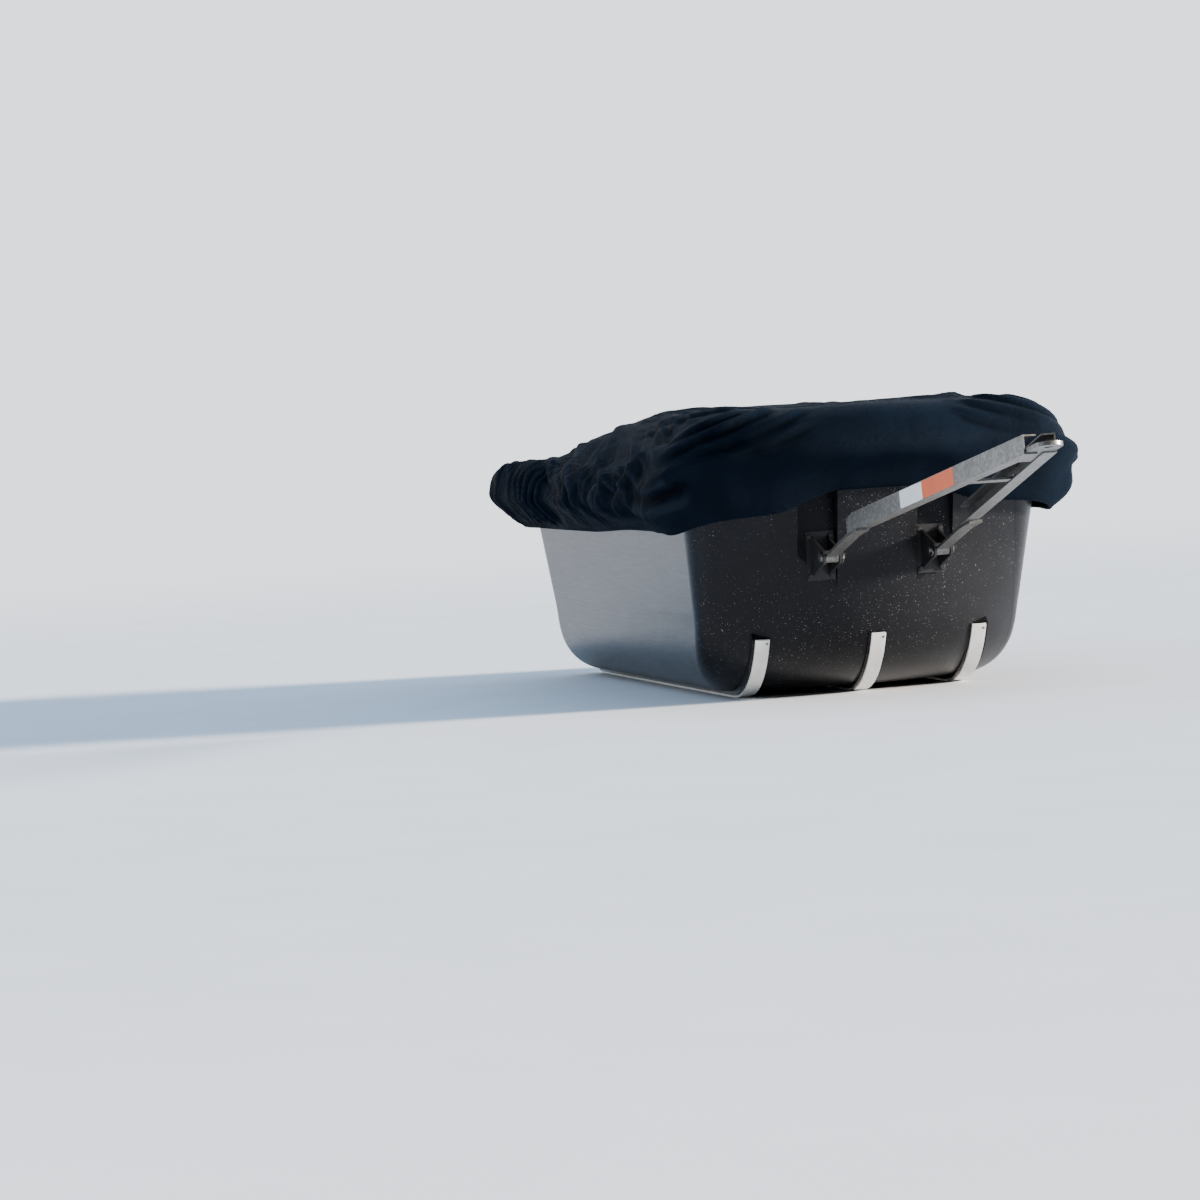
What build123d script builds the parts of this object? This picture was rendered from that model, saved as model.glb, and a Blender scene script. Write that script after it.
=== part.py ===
from build123d import *
from math import atan2, cos, degrees, radians, sin, tan
import os

# Utility sled with a fabric cover and a rigid tow bar.
# Millimetres, +X towards the bow, +Y to port, +Z up.
# The origin is on the floor, on the sole of the centre runner.

# Hull wall and its horizontal sections: the round foot, then straight flared walls
wall = 5.0
stern_bulge = 12.0
HULL_SECTIONS = (
    # height, stern x, half width, bow x, corner setback, stern radius, bow radius
    (13.0, -730.0, 262.0, 565.0, 95.0, 90.0, 45.0),
    (22.0, -771.0, 301.0, 631.0, 112.0, 98.0, 46.0),
    (70.0, -820.0, 346.0, 717.0, 138.0, 115.0, 48.0),
    (150.0, -843.5, 361.8, 768.5, 143.0, 124.0, 52.0),
    (190.0, -850.3, 365.8, 777.0, 134.0, 127.0, 58.0),
    (580.0, -917.0, 413.0, 861.5, 48.0, 140.0, 130.0),
)

# Sheer: the rim is level from the stern, then climbs to the bow
rim_height = 440.0
sheer_break_x = 560.0
sheer_angle = 16.0
sheer_bend_radius = 60.0

# Rim flange with its turned-down lip, and the rim's height at the bow
rim_width = 62.0
rim_thickness = 5.0
lip_depth = 13.0
lip_thickness = 5.0
rim_block_low = 380.0
bow_rim_height = 526.0

# Runner strips and the moulded keels that carry them
runner_thickness = 5.0
runner_width = 31.0
runner_spacing = 242.0
keel_width = 42.0
foot_radius = 232.0
foot_start_x = 565.0
side_foot_start_x = 508.0
foot_turn = 64.0
heel_start_x = -730.0
heel_radius = 113.0
heel_turn = 60.0
keel_fade = 34.0
RUNNERS = (
    # name, y, where its foot starts to rise
    ("runner_left", runner_spacing, side_foot_start_x),
    ("runner_centre", 0.0, foot_start_x),
    ("runner_right", -runner_spacing, side_foot_start_x),
)

# Hitch recesses, one each side of the nose
recess_y = 130.0
recess_width = 84.0
recess_back_x = 780.0
recess_low = 232.0
recess_high = 485.0
recess_corner = 10.0

# Hitch bracket and pivot pin
hitch_y = 122.0
pivot_x = 865.0
pivot_height = 305.0
bracket_plate = (4.0, 62.0, 104.0)
ear_thickness = 5.0
ear_root_height = 84.0
ear_tip_radius = 17.0
pin_radius = 6.0
pin_clearance = 0.2
pin_head_radius = 10.0
pin_head_length = 5.0
pin_tail = 9.0

# Tow bar, laid out flat in its own frame with the pivot at zero
bar_pitch = 10.0
knuckle_radius = 13.0
knuckle_clearance = 0.4
side_clearance = 1.0
strap_width = 28.0
strap_thickness = 6.0
strap_reach = 190.0
strap_lap = 70.0
bar_rise = 20.0
channel_height = 38.0
channel_flange = 28.0
channel_wall = 3.0
channel_tip_x = 1100.0
channel_tip_y = 33.0
channel_end_drop = 9.0
channel_end_run = 34.0
fit_gap = 0.4
brace_x = 760.0
brace_width = 32.0
brace_thickness = 5.0
tongue_start_x = 985.0
tongue_thickness = 8.0
eye_x = 1150.0
eye_radius = 8.5
tongue_nose_radius = 28.0

# Fabric cover with its elastic hem
fabric = 3.0
cover_lift = 0.6
cover_overhang = 86.0
skirt_depth = 86.0
hem_clearance = 12.0
hem_height = 11.0
hem_width = 8.0
hem_corner_radius = 100.0
skirt_corner_setback = 75.0
skirt_stern_radius = 135.0
BAND_SECTIONS = (
    # height, stern x, half width, bow x, corner setback, stern radius, bow radius
    (441.0, -976.0, 479.0, 800.0, 90.0, 135.0, 150.0),
    (492.0, -968.0, 471.0, 880.0, 90.0, 135.0, 150.0),
    (512.0, -938.0, 448.0, 912.0, 90.0, 125.0, 150.0),
)
CROWN_SECTIONS = (
    # as above, and how much narrower each side is at the stern
    (504.0, -944.0, 450.0, 906.0, 90.0, 125.0, 150.0, 0.0),
    (548.0, -780.0, 440.0, 942.0, 110.0, 250.0, 150.0, 130.0),
    (590.0, -665.0, 412.0, 922.0, 130.0, 200.0, 150.0, 200.0),
    (622.0, -500.0, 320.0, 810.0, 130.0, 100.0, 130.0, 200.0),
)


# Longer than the sled: for cutting shapes that pass right through
reach = 2000.0


def outline(plane, stern, half_width, bow, setback, stern_radius, bow_radius, narrowing=0.0):
    """Plan outline: straight sides, bowed stern, arched bow, four round corners."""
    corner = bow - setback
    stern_half = half_width - narrowing
    with BuildSketch(plane) as sketch:
        with BuildLine():
            Line((corner, half_width), (stern, stern_half))
            ThreePointArc((stern, stern_half), (stern - stern_bulge, 0), (stern, -stern_half))
            Line((stern, -stern_half), (corner, -half_width))
            ThreePointArc((corner, -half_width), (bow, 0), (corner, half_width))
        make_face()
        fillet(sketch.vertices().group_by(Axis.X)[0], stern_radius)
        fillet(sketch.vertices().group_by(Axis.X)[-1], bow_radius)
    return sketch.sketch


def grown(row, amount, lift=0.0):
    """A section row moved out by an amount on every side, and up by a lift."""
    height, stern, half_width, bow, setback, stern_radius, bow_radius, *narrowing = row
    return (height + lift, stern - amount, half_width + amount, bow + amount,
            setback, stern_radius + amount, bow_radius + amount, *narrowing)


def section_at(height):
    """The hull's section row at any height, between the rows of the table."""
    for low, high in zip(HULL_SECTIONS, HULL_SECTIONS[1:]):
        if height <= high[0]:
            break
    share = (height - low[0]) / (high[0] - low[0])
    return tuple(a + share * (b - a) for a, b in zip(low, high))


def body_from(rows, ruled=False):
    """A body lofted through horizontal section rows."""
    faces = [outline(Plane.XY.offset(row[0]), *row[1:]) for row in rows]
    return loft(faces, ruled=ruled)


def tub_form(growth, lift):
    """The hull's solid form: a smooth foot with straight flared walls on it."""
    rows = [grown(row, growth, lift) for row in HULL_SECTIONS]
    return body_from(rows[:-1]) + body_from(rows[-2:], ruled=True)


def across(profile_points, width, middle_y):
    """A side profile, given as (x, z) points, extruded across the sled."""
    with BuildSketch(Plane.XZ.offset(-middle_y)) as sketch:
        with BuildLine():
            Polyline(*profile_points, close=True)
        make_face()
    return extrude(sketch.sketch, width / 2, both=True)


def sheer_slab(top, bottom):
    """The layer between two heights counted from the rim, along the whole sheer."""
    rise = tan(radians(sheer_angle))
    run = reach - sheer_break_x
    lean = tan(radians(sheer_angle / 2))

    def bend(level):
        return (sheer_break_x - level * lean, rim_height + level)

    def far(level):
        return (reach, rim_height + run * rise + level / cos(radians(sheer_angle)))

    with BuildSketch(Plane.XZ) as sketch:
        with BuildLine():
            upper = FilletPolyline((-reach, rim_height + top), bend(top), far(top),
                                   radius=sheer_bend_radius)
            lower = FilletPolyline((-reach, rim_height + bottom), bend(bottom), far(bottom),
                                   radius=sheer_bend_radius)
            Line(upper @ 0, lower @ 0)
            Line(upper @ 1, lower @ 1)
        make_face()
    return extrude(sketch.sketch, reach / 2, both=True)


def runner_line(foot_x, depth):
    """Side view of a runner's path, a depth above its sole: heel arc, floor, foot arc."""
    heel_centre = (heel_start_x, heel_radius)
    foot_centre = (foot_x, foot_radius)
    heel_arm = heel_radius - depth
    foot_arm = foot_radius - depth
    heel_end = (heel_centre[0] - heel_arm * sin(radians(heel_turn)),
                heel_centre[1] - heel_arm * cos(radians(heel_turn)))
    heel_mid = (heel_centre[0] - heel_arm * sin(radians(heel_turn / 2)),
                heel_centre[1] - heel_arm * cos(radians(heel_turn / 2)))
    foot_mid = (foot_centre[0] + foot_arm * sin(radians(foot_turn / 2)),
                foot_centre[1] - foot_arm * cos(radians(foot_turn / 2)))
    foot_end = (foot_centre[0] + foot_arm * sin(radians(foot_turn)),
                foot_centre[1] - foot_arm * cos(radians(foot_turn)))
    return heel_end, heel_mid, (heel_start_x, depth), (foot_x, depth), foot_mid, foot_end


def draw_runner_line(points):
    """Draw a runner's path from its points, in the current line builder."""
    heel_end, heel_mid, floor_aft, floor_fore, foot_mid, foot_end = points
    ThreePointArc(heel_end, heel_mid, floor_aft)
    Line(floor_aft, floor_fore)
    ThreePointArc(floor_fore, foot_mid, foot_end)


def runner(y, foot_x):
    """A wear strip that lies on its keel from the heel, along the floor and up the foot."""
    sole = runner_line(foot_x, 0)
    seat = runner_line(foot_x, runner_thickness)
    with BuildSketch(Plane.XZ.offset(-y)) as sketch:
        with BuildLine():
            draw_runner_line(sole)
            draw_runner_line(seat)
            Line(sole[0], seat[0])
            Line(sole[-1], seat[-1])
        make_face()
    return extrude(sketch.sketch, runner_width / 2, both=True)


def keel(y, foot_x, inset):
    """A moulded ridge under the hull, or its hollow when it is inset by the wall."""
    line = runner_line(foot_x, runner_thickness + inset)
    heel_end = line[0]
    foot_end = line[-1]
    with BuildSketch(Plane.XZ.offset(-y)) as sketch:
        with BuildLine():
            draw_runner_line(line)
            Polyline(foot_end, (foot_end[0] - keel_fade, foot_end[1] + keel_fade),
                     (foot_x, foot_end[1] + keel_fade), (heel_start_x, heel_end[1] + keel_fade),
                     (heel_end[0] + keel_fade, heel_end[1] + keel_fade), heel_end)
        make_face()
    return extrude(sketch.sketch, keel_width / 2 - inset, both=True)


def recess(side, growth):
    """The upright pocket beside the nose, or its outside when it is grown by the wall."""
    with BuildSketch(Plane.YZ.offset(recess_back_x - growth)) as sketch:
        with Locations((side * recess_y, (recess_low + recess_high) / 2)):
            RectangleRounded(recess_width + 2 * growth, recess_high - recess_low + 2 * growth,
                             recess_corner + growth)
    return extrude(sketch.sketch, reach)


def rim():
    """The flange round the top edge, with its lip turned down."""
    rows = (section_at(rim_block_low), HULL_SECTIONS[-1])
    outside = body_from([grown(row, rim_width) for row in rows], ruled=True)
    under_lip = body_from([grown(row, rim_width - lip_thickness) for row in rows], ruled=True)
    flange = (outside & sheer_slab(0, -rim_thickness))
    lip = (outside - under_lip) & sheer_slab(0, -lip_depth)
    return flange + lip


def hull():
    """The moulded tub: one wall all round, with keels, recesses and rim."""
    outside = tub_form(0, 0)
    inside = tub_form(-wall, wall)
    for name, y, foot_x in RUNNERS:
        outside += keel(y, foot_x, 0)
        inside += keel(y, foot_x, wall)
        outside -= runner(y, foot_x)
    for side in (1, -1):
        outside -= recess(side, 0)
        inside -= recess(side, wall)
    below_sheer = sheer_slab(0, -reach)
    return (outside & below_sheer) + rim() - inside


def hitch_bracket(side):
    """A plate on the recess's back wall, with two ears that carry the pivot pin."""
    thickness, width, height = bracket_plate
    plate_front = recess_back_x + thickness
    plate = Box(thickness, width, height)
    plate = Pos(recess_back_x + thickness / 2, side * hitch_y, pivot_height) * plate
    ear_gap = strap_width / 2 + side_clearance
    ears = Part()
    for place in (ear_gap + ear_thickness / 2, -ear_gap - ear_thickness / 2):
        with BuildSketch(Plane.XZ.offset(-(side * hitch_y + place))) as sketch:
            with BuildLine():
                Polyline((plate_front, pivot_height - ear_root_height / 2),
                         (pivot_x, pivot_height - ear_tip_radius),
                         (pivot_x, pivot_height + ear_tip_radius),
                         (plate_front, pivot_height + ear_root_height / 2), close=True)
            make_face()
            with Locations((pivot_x, pivot_height)):
                Circle(ear_tip_radius)
                Circle(pin_radius + pin_clearance, mode=Mode.SUBTRACT)
        ears += extrude(sketch.sketch, ear_thickness / 2, both=True)
    return plate + ears


def pivot_pin(side):
    """The pin through both ears and the knuckle, with its head outboard."""
    half_grip = strap_width / 2 + side_clearance + ear_thickness
    length = 2 * half_grip + pin_tail
    shank = Cylinder(pin_radius, length, rotation=(90, 0, 0))
    shank = Pos(pivot_x, side * (hitch_y - pin_tail / 2), pivot_height) * shank
    head = Cylinder(pin_head_radius, pin_head_length, rotation=(90, 0, 0))
    head_y = side * (hitch_y + half_grip + pin_clearance + pin_head_length / 2)
    neck = Cylinder(pin_radius, pin_clearance, rotation=(90, 0, 0))
    neck_y = side * (hitch_y + half_grip + pin_clearance / 2)
    head = Pos(pivot_x, head_y, pivot_height) * head
    neck = Pos(pivot_x, neck_y, pivot_height) * neck
    return shank + neck + head


def hang_on_pivot(shape):
    """Carry a tow bar shape from the bar's own flat frame to its place on the sled."""
    return Pos(pivot_x, 0, pivot_height) * Rot(0, -bar_pitch, 0) * shape


def channel_outer_y(x):
    """Distance of the channel's outer face from the middle, at a place along the bar."""
    root_y = hitch_y + strap_width / 2
    share = (x - strap_reach) / (channel_tip_x - strap_reach)
    return root_y + share * (channel_tip_y - root_y)


def channel_inner_y(x):
    """Distance of the web's inner face from the middle, at a place along the bar."""
    return channel_outer_y(x) - channel_wall / cos(radians(channel_angle()))


def channel_angle():
    """How far each channel turns in towards the tongue, in degrees."""
    run = channel_tip_x - strap_reach
    return degrees(atan2(channel_outer_y(strap_reach) - channel_tip_y, run))


def tow_arm(side):
    """A channel, open towards the middle, on a strap that ends in the pivot knuckle."""
    strap_middle = bar_rise - strap_thickness / 2
    half = strap_thickness / 2
    with BuildSketch(Plane.XZ.offset(-side * hitch_y)) as sketch:
        with BuildLine():
            Polyline((0, half), (strap_reach, strap_middle + half),
                     (strap_reach + strap_lap, strap_middle + half),
                     (strap_reach + strap_lap, strap_middle - half),
                     (strap_reach, strap_middle - half), (0, -half), close=True)
        make_face()
        Circle(knuckle_radius)
        Circle(pin_radius + knuckle_clearance, mode=Mode.SUBTRACT)
    strap = extrude(sketch.sketch, strap_width / 2, both=True)

    root_y = side * channel_outer_y(strap_reach)
    turn = radians(channel_angle())
    along = (cos(turn), -side * sin(turn), 0)
    inward = (-sin(turn), -side * cos(turn), 0)
    length = (channel_tip_x - strap_reach) / cos(turn)
    frame = Plane(origin=(strap_reach, root_y, bar_rise), x_dir=inward, z_dir=along)
    up = 1 if frame.y_dir.Z > 0 else -1
    with BuildSketch(frame) as section:
        with BuildLine():
            Polyline((0, 0), (channel_flange, 0), (channel_flange, up * channel_wall),
                     (channel_wall, up * channel_wall),
                     (channel_wall, up * (channel_height - channel_wall)),
                     (channel_flange, up * (channel_height - channel_wall)),
                     (channel_flange, up * channel_height), (0, up * channel_height), close=True)
        make_face()
    channel = extrude(section.sketch, length)
    top = bar_rise + channel_height
    back = strap_reach - channel_end_run
    front = strap_reach + 2 * channel_end_run
    corner = across(((back, top - 2 * channel_end_drop), (front, top + channel_end_drop),
                     (back, top + channel_end_drop)), reach, 0)
    return hang_on_pivot(strap + (channel - corner))


def between_webs(x_from, x_to):
    """Corner points of a plate that fits between the two webs with a small gap."""
    aft = channel_inner_y(x_from) - fit_gap
    fore = channel_inner_y(x_to) - fit_gap
    return aft, fore


def cross_brace():
    """A flat bar across the two arms, seated on their lower flanges."""
    x_from = brace_x - brace_width / 2
    x_to = brace_x + brace_width / 2
    aft, fore = between_webs(x_from, x_to)
    with BuildSketch(Plane.XY.offset(bar_rise + channel_wall)) as sketch:
        with BuildLine():
            Polyline((x_from, aft), (x_to, fore), (x_to, -fore), (x_from, -aft), close=True)
        make_face()
    return hang_on_pivot(extrude(sketch.sketch, brace_thickness))


def tongue():
    """The plate between the arms' tips, with the eye for the towing pin."""
    aft, fore = between_webs(tongue_start_x, channel_tip_x)
    with BuildSketch(Plane.XY.offset(bar_rise + channel_wall)) as sketch:
        with BuildLine():
            Polyline((tongue_start_x, aft), (channel_tip_x, fore),
                     (eye_x, tongue_nose_radius), (eye_x, -tongue_nose_radius),
                     (channel_tip_x, -fore), (tongue_start_x, -aft), close=True)
        make_face()
        with Locations((eye_x, 0)):
            Circle(tongue_nose_radius)
            Circle(eye_radius, mode=Mode.SUBTRACT)
    return hang_on_pivot(extrude(sketch.sketch, tongue_thickness))


def skirt_form(inset, top, bottom):
    """The cover's skirt as a solid bowl that follows the sheer, from top to bottom level."""
    slope = radians(sheer_angle)
    stern_rim = section_at(rim_height)
    stern_hem = section_at(rim_height - skirt_depth)
    bow_rim = section_at(bow_rim_height)
    bow_hem = section_at(bow_rim_height - skirt_depth)
    bow_reach = (stern_rim[3] - sheer_break_x) / cos(slope) + bow_reach_gain()

    def skirt_outline(frame, level, stern, bow):
        share = (level + skirt_depth) / skirt_depth
        growth = hem_clearance + share * (cover_overhang - hem_clearance) - inset
        half = bow_hem[2] + share * (bow_rim[2] - bow_hem[2]) + growth
        if stern is None:
            stern = stern_hem[1] + share * (stern_rim[1] - stern_hem[1]) - growth
        if bow is None:
            bow = bow_reach - (1 - share) * skirt_bow_flare() + growth
        bow_corner = hem_corner_radius + share * (bow_rim[6] - hem_corner_radius) + growth
        return outline(frame.offset(level), stern, half, bow, skirt_corner_setback,
                       skirt_stern_radius - inset, bow_corner)

    def tilted(angle):
        return Plane(origin=(sheer_break_x, 0, rim_height), x_dir=(cos(angle), 0, sin(angle)),
                     z_dir=(-sin(angle), 0, cos(angle)))

    level_frame = Plane.XY.offset(rim_height)
    level_part = loft([skirt_outline(level_frame, level, None, reach / 2)
                       for level in (bottom, top)], ruled=True)
    climbing_part = loft([skirt_outline(tilted(slope), level, -reach / 2, None)
                          for level in (bottom, top)], ruled=True)
    ahead = tilted(slope / 2).location * Box(reach, reach, reach,
                                             align=(Align.MIN, Align.CENTER, Align.CENTER))
    return (level_part - ahead) + (climbing_part & ahead)


def bow_reach_gain():
    """How much further the bow reaches where the climbing rim crosses it."""
    slope = radians(sheer_angle)
    low, high = HULL_SECTIONS[-2], HULL_SECTIONS[-1]
    rake = (high[3] - low[3]) / (high[0] - low[0])
    climb = (section_at(rim_height)[3] - sheer_break_x) * tan(slope)
    return climb * rake / cos(slope) / (1 - rake * tan(slope))


def skirt_bow_flare():
    """How far the bow wall moves aft over the depth of the skirt, along the climbing rim."""
    low, high = HULL_SECTIONS[-2], HULL_SECTIONS[-1]
    rake = (high[3] - low[3]) / (high[0] - low[0])
    return skirt_depth * (rake + tan(radians(sheer_angle)))


def crown_form(inset):
    """The cover above the rim as a solid: a puffed band, and the crown that rises from it."""
    band = body_from([grown(row, -inset, -inset) for row in BAND_SECTIONS])
    crown = body_from([grown(row, -inset, -inset) for row in CROWN_SECTIONS])
    return band + crown


def cover():
    """The fabric shell: crown, band, a facing that lies on the rim, and skirt, open below."""
    facing_top = cover_lift + fabric
    outside = skirt_form(0, facing_top, -skirt_depth + hem_height) + crown_form(0)
    under_crown = crown_form(fabric) & sheer_slab(reach, facing_top)
    mouth_rows = [grown(row, -wall) for row in (section_at(rim_block_low), HULL_SECTIONS[-1])]
    mouth = body_from(mouth_rows, ruled=True) & sheer_slab(facing_top + fabric, 0)
    inside = skirt_form(fabric, cover_lift, -skirt_depth) + under_crown + mouth
    return outside - inside


def cover_hem():
    """The elastic hem: a thick band that closes the lower edge of the skirt."""
    outside = skirt_form(0, -skirt_depth + hem_height, -skirt_depth)
    inside = skirt_form(hem_width, 0, -skirt_depth - hem_height)
    return outside - inside


def write(name, shape):
    """Save one node."""
    export_step(shape, f"parts/{name}.step")


os.makedirs("parts", exist_ok=True)
write("hull", hull())
for name, y, foot_x in RUNNERS:
    write(name, runner(y, foot_x))
for hand, side in (("left", 1), ("right", -1)):
    write(f"hitch_bracket_{hand}", hitch_bracket(side))
    write(f"pivot_pin_{hand}", pivot_pin(side))
    write(f"tow_arm_{hand}", tow_arm(side))
write("cross_brace", cross_brace())
write("tongue", tongue())
write("cover", cover())
write("cover_hem", cover_hem())
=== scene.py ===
import math
import random

import bmesh
import bpy
import numpy as np
from mathutils import Matrix, Vector
from mathutils.bvhtree import BVHTree


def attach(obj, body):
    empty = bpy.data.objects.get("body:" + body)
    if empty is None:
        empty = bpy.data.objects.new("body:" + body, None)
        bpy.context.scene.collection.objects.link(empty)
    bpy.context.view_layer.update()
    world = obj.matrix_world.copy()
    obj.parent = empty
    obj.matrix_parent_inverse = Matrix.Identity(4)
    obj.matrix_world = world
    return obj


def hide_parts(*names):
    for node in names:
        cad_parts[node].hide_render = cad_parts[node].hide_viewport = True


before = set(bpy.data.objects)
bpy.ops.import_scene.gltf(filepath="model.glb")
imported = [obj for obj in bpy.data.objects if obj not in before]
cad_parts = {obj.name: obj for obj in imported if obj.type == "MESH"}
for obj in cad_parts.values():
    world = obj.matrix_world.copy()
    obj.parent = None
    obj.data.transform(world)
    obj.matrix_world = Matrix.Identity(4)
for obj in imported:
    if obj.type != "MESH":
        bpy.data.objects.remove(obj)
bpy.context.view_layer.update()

# Utility sled with a black fabric cover and a rigid tow bar, on a pale floor.
# Metres, +X towards the bow, +Y to port, +Z up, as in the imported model.

HANDS = (("left", 1), ("right", -1))

# Pivot, brackets and pins, in the sled's frame
PIVOT = Vector((0.865, 0.0, 0.305))
BAR_TURN = Matrix.Rotation(math.radians(-10.0), 3, "Y")
HITCH_Y = 0.122
BRACKET_FACE_X = 0.784
BRACKET_BOLT_Y, BRACKET_BOLT_Z = 0.0235, 0.042
PIN_END, CLIP_DROP = 0.0235, 0.0045
CLIP_RADIUS, CLIP_WIRE, CLIP_SLANT = 0.0085, 0.0011, 0.18
CLIP_STEPS, WIRE_SIDES = 32, 10

# Tow bar, in its own flat frame with the pivot at zero
ROOT_X, ROOT_Y = 0.190, 0.136
TIP_X, TIP_Y = 1.100, 0.033
BAR_RISE, CHANNEL_HEIGHT, CHANNEL_WALL = 0.020, 0.038, 0.003
STRAP_BOLT_X = (0.212, 0.244)
BRACE_BOLT_X, BRACE_BOLT_INSET, BRACE_THICKNESS = 0.760, 0.018, 0.005
TONGUE_BOLT_X, TONGUE_BOLT_INSET, TONGUE_THICKNESS = (1.012, 1.072), 0.017, 0.008

# Bolt heads
BOLT_ACROSS, BRACKET_BOLT_HEIGHT, BAR_BOLT_HEIGHT = 0.010, 0.005, 0.0055

# The patches on the near arm, in the tow bar's frame
WHITE_PATCH_X, ORANGE_PATCH_X = (0.484, 0.599), (0.600, 0.760)
PATCH_MARGIN, PATCH_CORNER, PATCH_THICKNESS = 0.0012, 0.003, 0.0003
PATCH_GAP = 0.00005

# Where each runner strip curves up the foot of the bow, and its screw
STRIP_FOOT = (("left", 0.242, 0.508), ("centre", 0.0, 0.565), ("right", -0.242, 0.508))
FOOT_RADIUS, SCREW_ANGLE = 0.232, math.radians(61.8)
SCREW_OFFSET, SCREW_RADIUS = 0.010, 0.0028

# Camera, from the fit to the photograph
LOOK_AT = Vector((0.665, 0.0, 0.2375))
LOOK_PIXEL = (862.0, 582.0)
IMAGE_SIZE, SENSOR_WIDTH = 1200.0, 36.0
FOCAL_PIXELS = 5005.4
CAMERA_OFF_BOW, CAMERA_HEIGHT_ANGLE, CAMERA_ROLL = 16.042, 2.507, 3.433
CAMERA_DISTANCE = 10.791

# Studio: an even pale backdrop behind the sled, which dims towards the camera
BACKDROP_COLOUR = (0.93, 0.96, 1.0)
BACKDROP_STRENGTH = 2.0
FRONT_SHARE = 0.07
OVERHEAD_COLOUR = (0.40, 0.66, 1.0)
FADE_START, FADE_END = 3.5, 12.0
FLOOR_RADIUS, FLOOR_SIDES = 60.0, 96
KEY_DIRECTION = Vector((0.26, 0.92, 0.205))
KEY_COLOUR = (1.0, 0.90, 0.80)
KEY_STRENGTH, KEY_ANGLE = 18.0, 9.0


# Helpers

def smooth_step(low, high, value):
    """0 below low, 1 above high, and a smooth climb between."""
    t = np.clip((value - low) / (high - low), 0.0, 1.0)
    return t * t * (3.0 - 2.0 * t)


def mesh_object(name, vertices, faces, material, smooth=True):
    """A new object from vertices and faces, with one material."""
    mesh = bpy.data.meshes.new(name)
    mesh.from_pydata([tuple(v) for v in vertices], [], [tuple(f) for f in faces])
    return shown(name, mesh, material, smooth)


def bmesh_object(name, bm, material):
    """A new flat-shaded object from a bmesh, which is freed."""
    mesh = bpy.data.meshes.new(name)
    bm.to_mesh(mesh)
    bm.free()
    return shown(name, mesh, material, smooth=False)


def shown(name, mesh, material, smooth):
    """An object of a mesh, with its material, in the scene."""
    mesh.materials.append(material)
    mesh.polygons.foreach_set("use_smooth", [smooth] * len(mesh.polygons))
    mesh.update()
    obj = bpy.data.objects.new(name, mesh)
    bpy.context.scene.collection.objects.link(obj)
    return obj


def grid_faces(spokes, rings, closed=False):
    """Quads of a spokes by rings grid that runs in a loop; a closed one is a tube."""
    faces = []
    for i in range(spokes):
        here, there = i * rings, (i + 1) % spokes * rings
        for k in range(rings if closed else rings - 1):
            m = (k + 1) % rings
            faces.append((here + k, there + k, there + m, here + m))
    return faces


def bar_place(x, y, z):
    """A point of the bar's flat frame, in the sled's frame."""
    return PIVOT + BAR_TURN @ Vector((x, y, z))


def bar_direction(x, y, z):
    """A direction of the bar's flat frame, in the sled's frame."""
    return (BAR_TURN @ Vector((x, y, z))).normalized()


# Materials

FOLD_SLANT = math.radians(22.0)
BLACK, WHITE = (0, 0, 0), (1, 1, 1)


def new_material(name):
    """A node material: returns it with its tree, its shader and its object coordinates."""
    material = bpy.data.materials.new(name)
    material.use_nodes = True
    tree = material.node_tree
    shader = tree.nodes["Principled BSDF"]
    even = tree.nodes.new("ShaderNodeTexCoord").outputs["Object"]
    return material, tree, shader, even


def scaled(tree, even, scale):
    """Object coordinates stretched by a scale in x, y and z."""
    mapping = tree.nodes.new("ShaderNodeMapping")
    mapping.inputs["Scale"].default_value = scale
    tree.links.new(even, mapping.inputs["Vector"])
    return mapping.outputs["Vector"]


def noise(tree, vector, scale, detail=4.0, rough=0.55, distortion=0.0):
    """A noise value, 0 to 1."""
    node = tree.nodes.new("ShaderNodeTexNoise")
    node.inputs["Scale"].default_value = scale
    node.inputs["Detail"].default_value = detail
    node.inputs["Roughness"].default_value = rough
    node.inputs["Distortion"].default_value = distortion
    tree.links.new(vector, node.inputs["Vector"])
    return node.outputs["Fac"]


def ramp(tree, value, stops):
    """A colour ramp over a value, from (place, colour) stops."""
    node = tree.nodes.new("ShaderNodeValToRGB")
    elements = node.color_ramp.elements
    while len(elements) < len(stops):
        elements.new(0.5)
    for element, (place, colour) in zip(elements, stops):
        element.position = place
        element.color = (*colour, 1.0)
    tree.links.new(value, node.inputs["Fac"])
    return node.outputs["Color"]


def spread(tree, value, low=0.0, high=1.0, source=(0.0, 1.0)):
    """A value carried from the source range to the range low to high."""
    node = tree.nodes.new("ShaderNodeMapRange")
    for name, limit in zip(("From Min", "From Max", "To Min", "To Max"), (*source, low, high)):
        node.inputs[name].default_value = limit
    tree.links.new(value, node.inputs["Value"])
    return node.outputs["Result"]


def marks_of(tree, value, low, high):
    """0 below low and 1 above high: the marks that a noise value leaves on a surface."""
    return ramp(tree, value, [(low, BLACK), (high, WHITE)])


def mixed(tree, factor, first, second):
    """Two colours mixed by a factor; each may be a socket or a plain colour."""
    node = tree.nodes.new("ShaderNodeMix")
    node.data_type = "RGBA"
    for socket, value in ((node.inputs["Factor"], factor), (node.inputs[6], first),
                          (node.inputs[7], second)):
        if isinstance(value, bpy.types.NodeSocket):
            tree.links.new(value, socket)
        else:
            socket.default_value = value if isinstance(value, float) else (*value, 1.0)
    return node.outputs[2]


def summed(tree, first, second, second_share):
    """First plus a share of second."""
    node = tree.nodes.new("ShaderNodeMath")
    node.operation = "MULTIPLY_ADD"
    tree.links.new(second, node.inputs[0])
    node.inputs[1].default_value = second_share
    tree.links.new(first, node.inputs[2])
    return node.outputs[0]


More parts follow.
